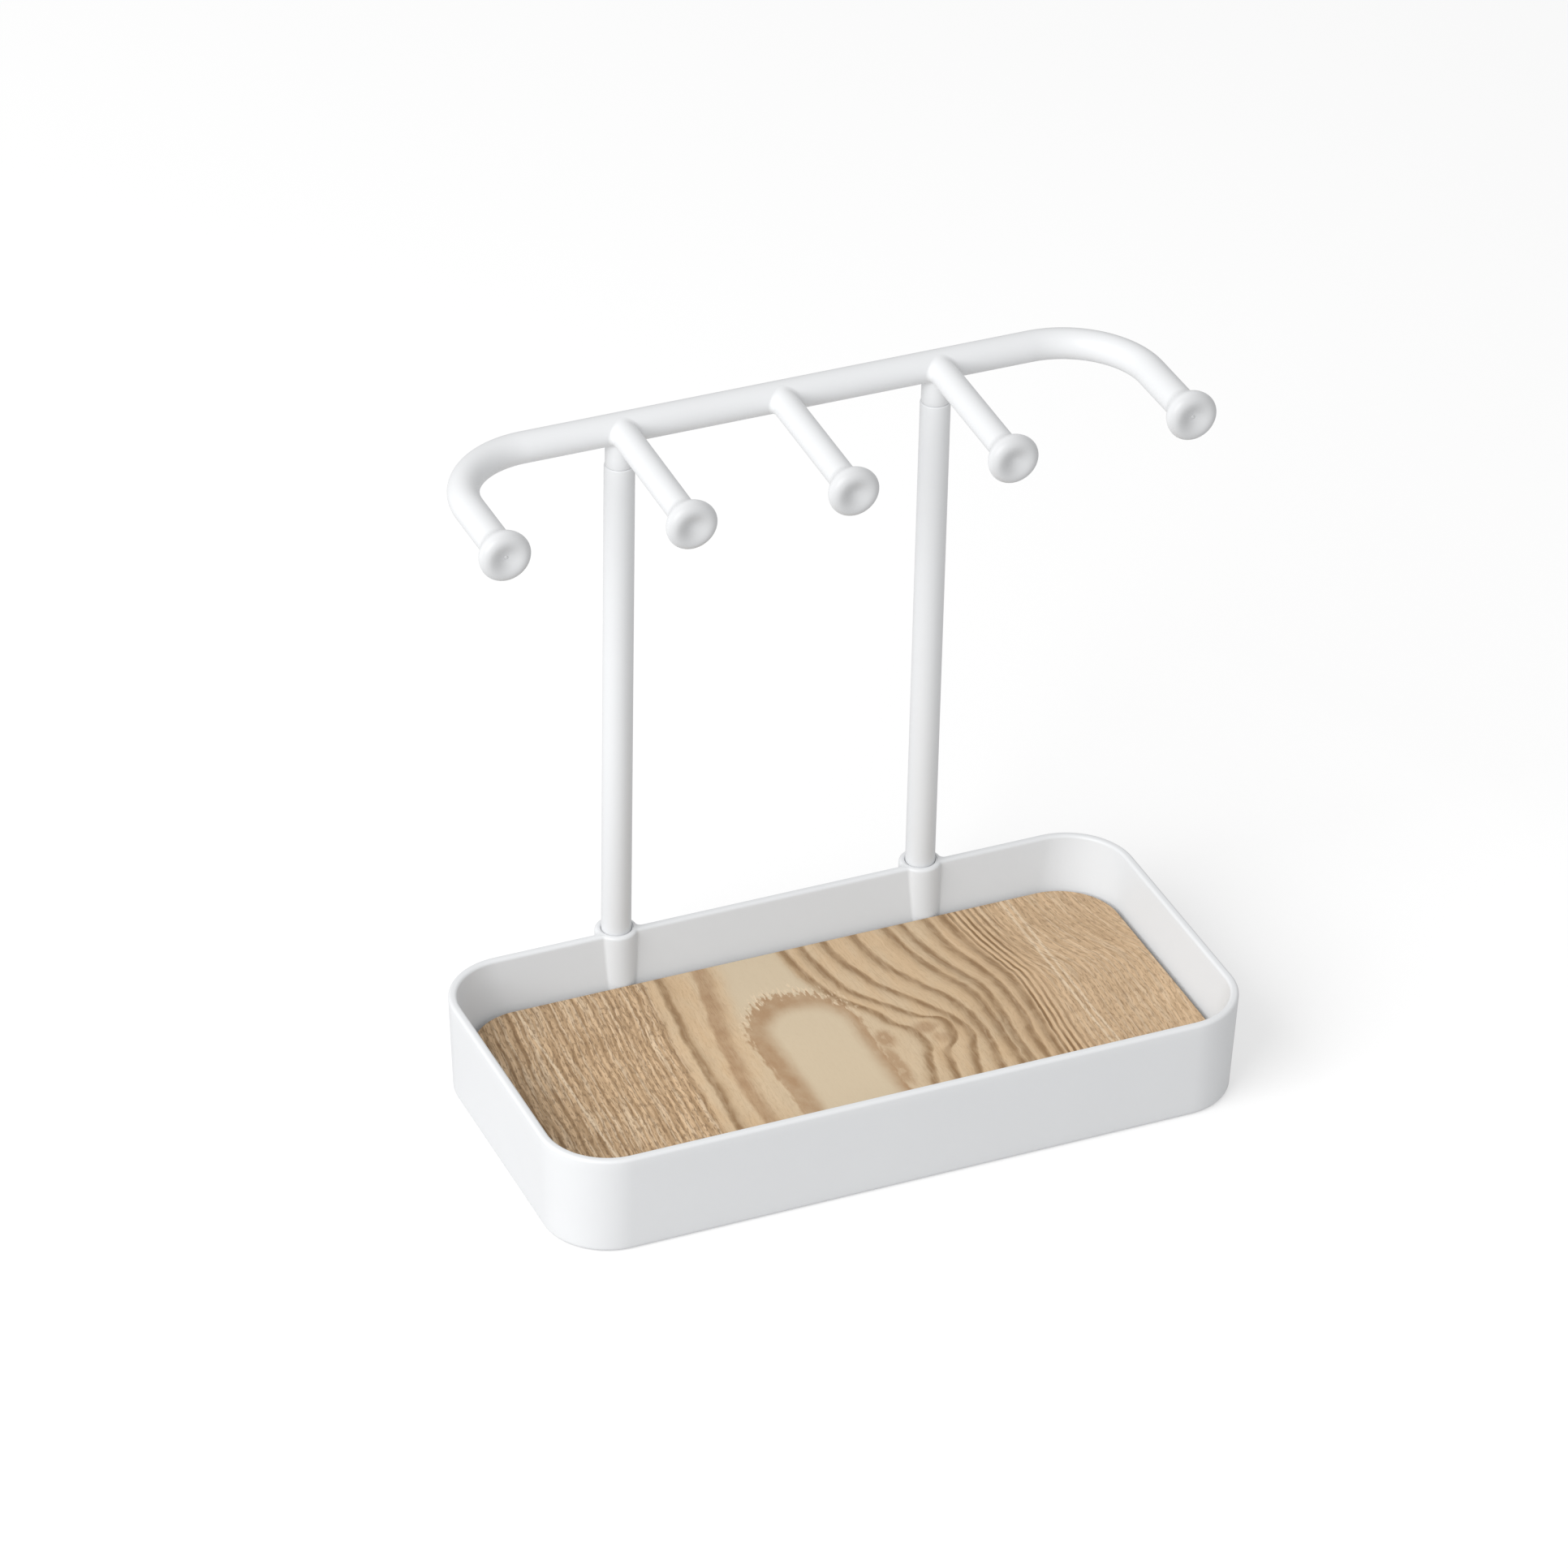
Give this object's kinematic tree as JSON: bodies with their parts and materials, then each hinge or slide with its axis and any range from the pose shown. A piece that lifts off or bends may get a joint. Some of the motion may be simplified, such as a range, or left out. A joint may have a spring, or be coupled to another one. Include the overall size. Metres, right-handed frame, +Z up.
{
  "type": "jewelry stand",
  "caption": "Free-standing jewellery stand: a shallow tray with a wooden board in it, and posts behind the board that carry a rail of knobbed hooks.",
  "frame": {"origin": "under the middle of the whole stand's box, on the surface it stands on", "axes": "+X along the tray to the viewer's right, +Y to the rear, where the posts stand, +Z up"},
  "size_m": [0.2058, 0.1068, 0.1927],
  "materials": {
    "white_plastic": "satin white moulded plastic",
    "ash_wood": "pale oiled wood with brown grain"
  },
  "bodies": {
    "tray": {"tray": "white_plastic"},
    "board": {"wood_board": "ash_wood"},
    "left_post": {"left_post": "white_plastic"},
    "right_post": {"right_post": "white_plastic"},
    "rail": {"hook_rail": "white_plastic"}
  },
  "joints": [
    {"name": "board_lift", "type": "slide", "parent": "tray", "child": "board", "axis": [0, 0, 1], "range_m": [0, 0.04]},
    {"name": "left_post_lift", "type": "slide", "parent": "tray", "child": "left_post", "axis": [0, 0, 1], "range_m": [0, 0.03]},
    {"name": "right_post_lift", "type": "slide", "parent": "tray", "child": "right_post", "axis": [0, 0, 1], "range_m": [0, 0.03]},
    {"name": "rail_lift", "type": "slide", "parent": "left_post", "child": "rail", "axis": [0, 0, 1], "range_m": [0, 0.018]}
  ],
  "couplings": [
    {"joint": "right_post_lift", "follows": "left_post_lift", "ratio": 1}
  ]
}
